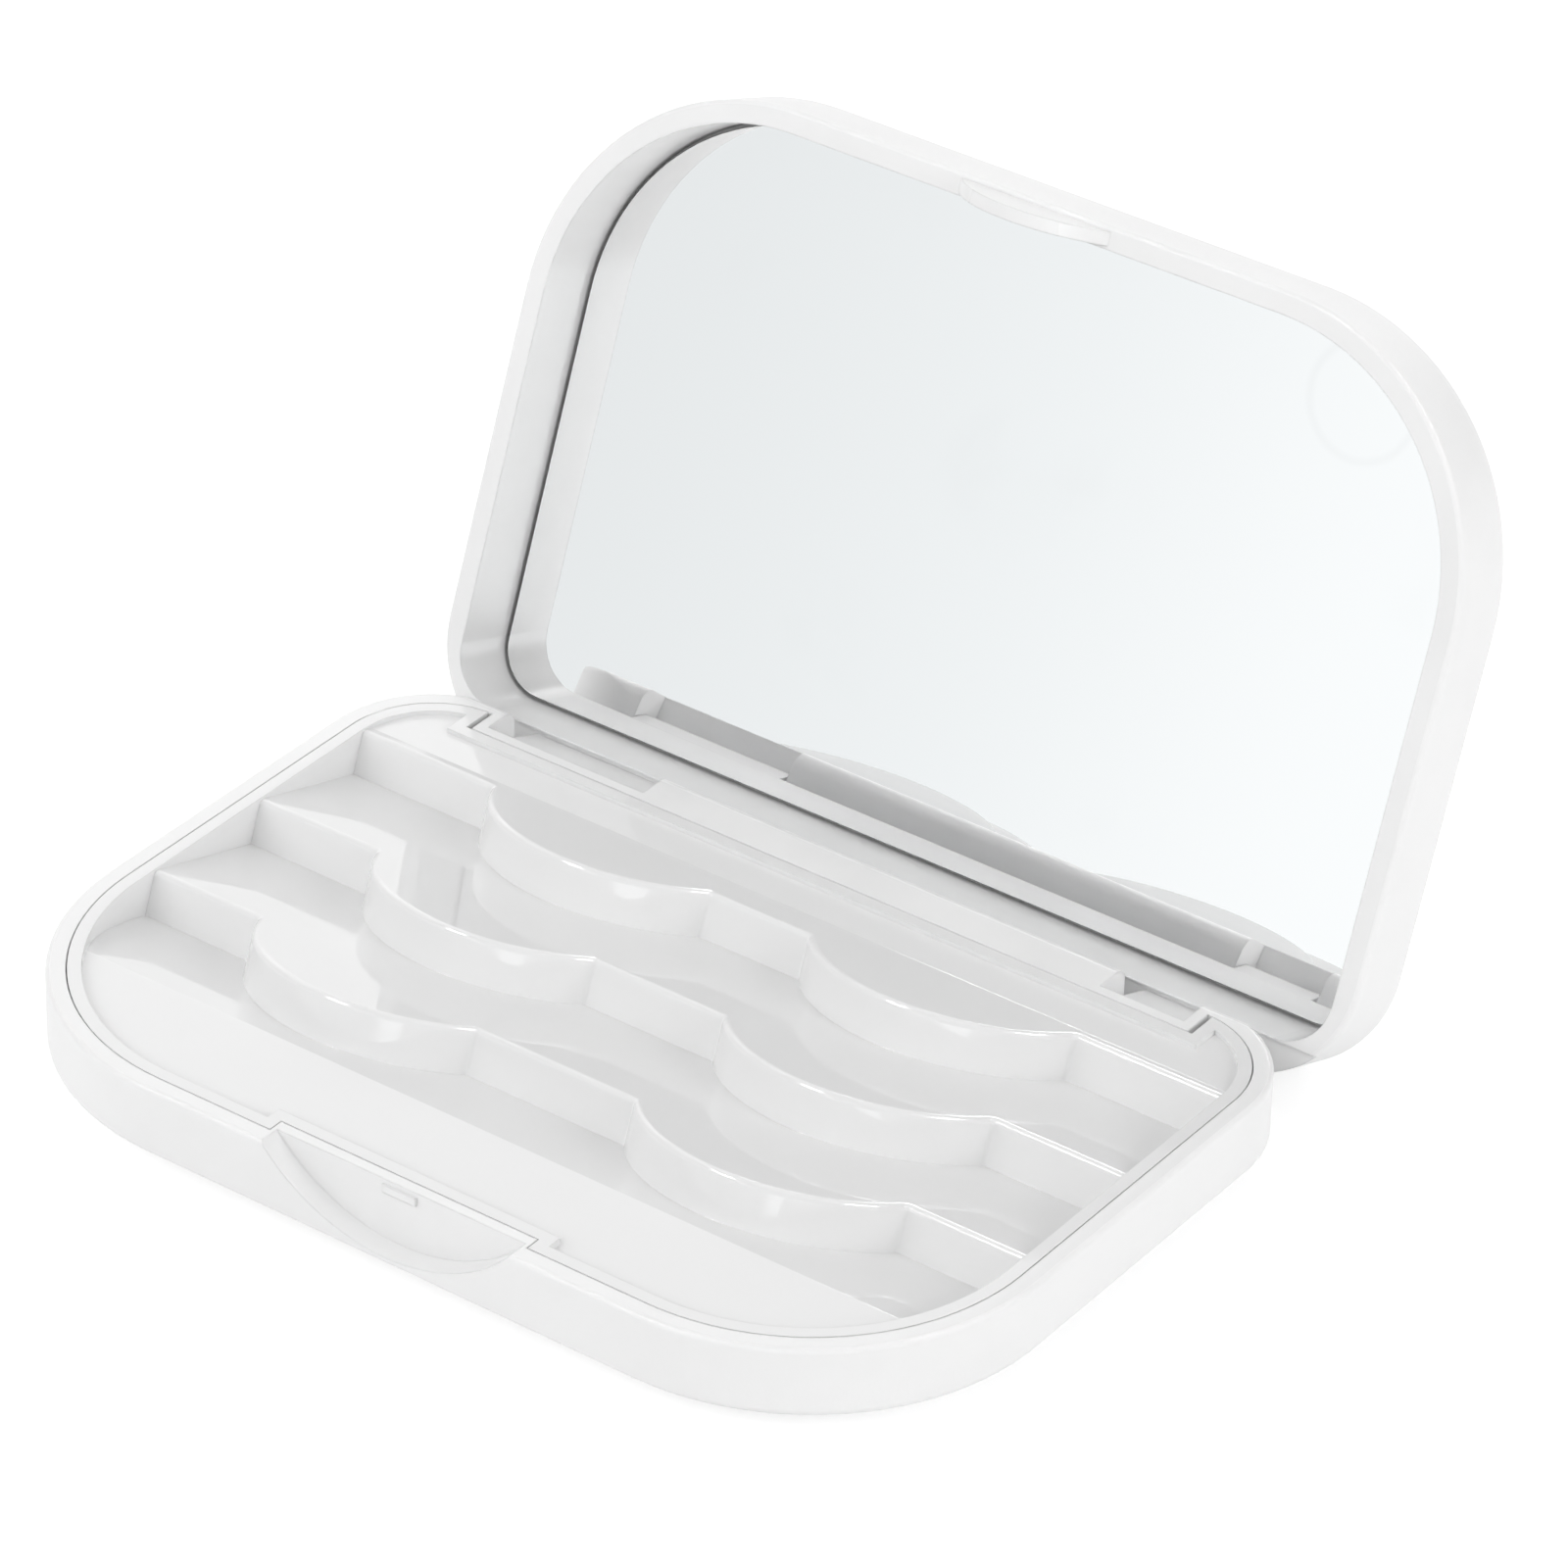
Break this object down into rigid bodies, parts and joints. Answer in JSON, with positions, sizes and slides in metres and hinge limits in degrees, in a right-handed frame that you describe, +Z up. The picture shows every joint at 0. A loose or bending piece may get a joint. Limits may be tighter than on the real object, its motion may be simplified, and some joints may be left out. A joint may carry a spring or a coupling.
{
  "type": "false eyelash case",
  "caption": "Flat hinged case for false eyelashes with a stepped tray of curved lash rows, a mirror in the lid and a thumb scoop with a latch tongue.",
  "frame": {"origin": "centre of the base's underside, on the surface the case stands on", "axes": "+X to the right along the front edge, +Y from the front edge to the hinge, +Z up"},
  "size_m": [0.112, 0.1117, 0.0742],
  "materials": {
    "shell": "fine satin grain, white",
    "tray": "polished, white",
    "mirror": "silvered plate with ground edges",
    "tape": "foam-backed adhesive strip",
    "pin": "drawn wire"
  },
  "bodies": {
    "base": {"base_shell": "shell", "lash_tray": "tray", "hinge_pin_left": "pin", "hinge_pin_right": "pin"},
    "lid": {"lid_shell": "shell", "mirror": "mirror", "mirror_tape_left": "tape", "mirror_tape_right": "tape"}
  },
  "joints": [
    {"name": "lid_hinge", "type": "hinge", "parent": "base", "child": "lid", "pos_m": [0, 0.0354, 0.0065], "axis": [1, 0, 0], "range_deg": [0, 110.6]}
  ]
}
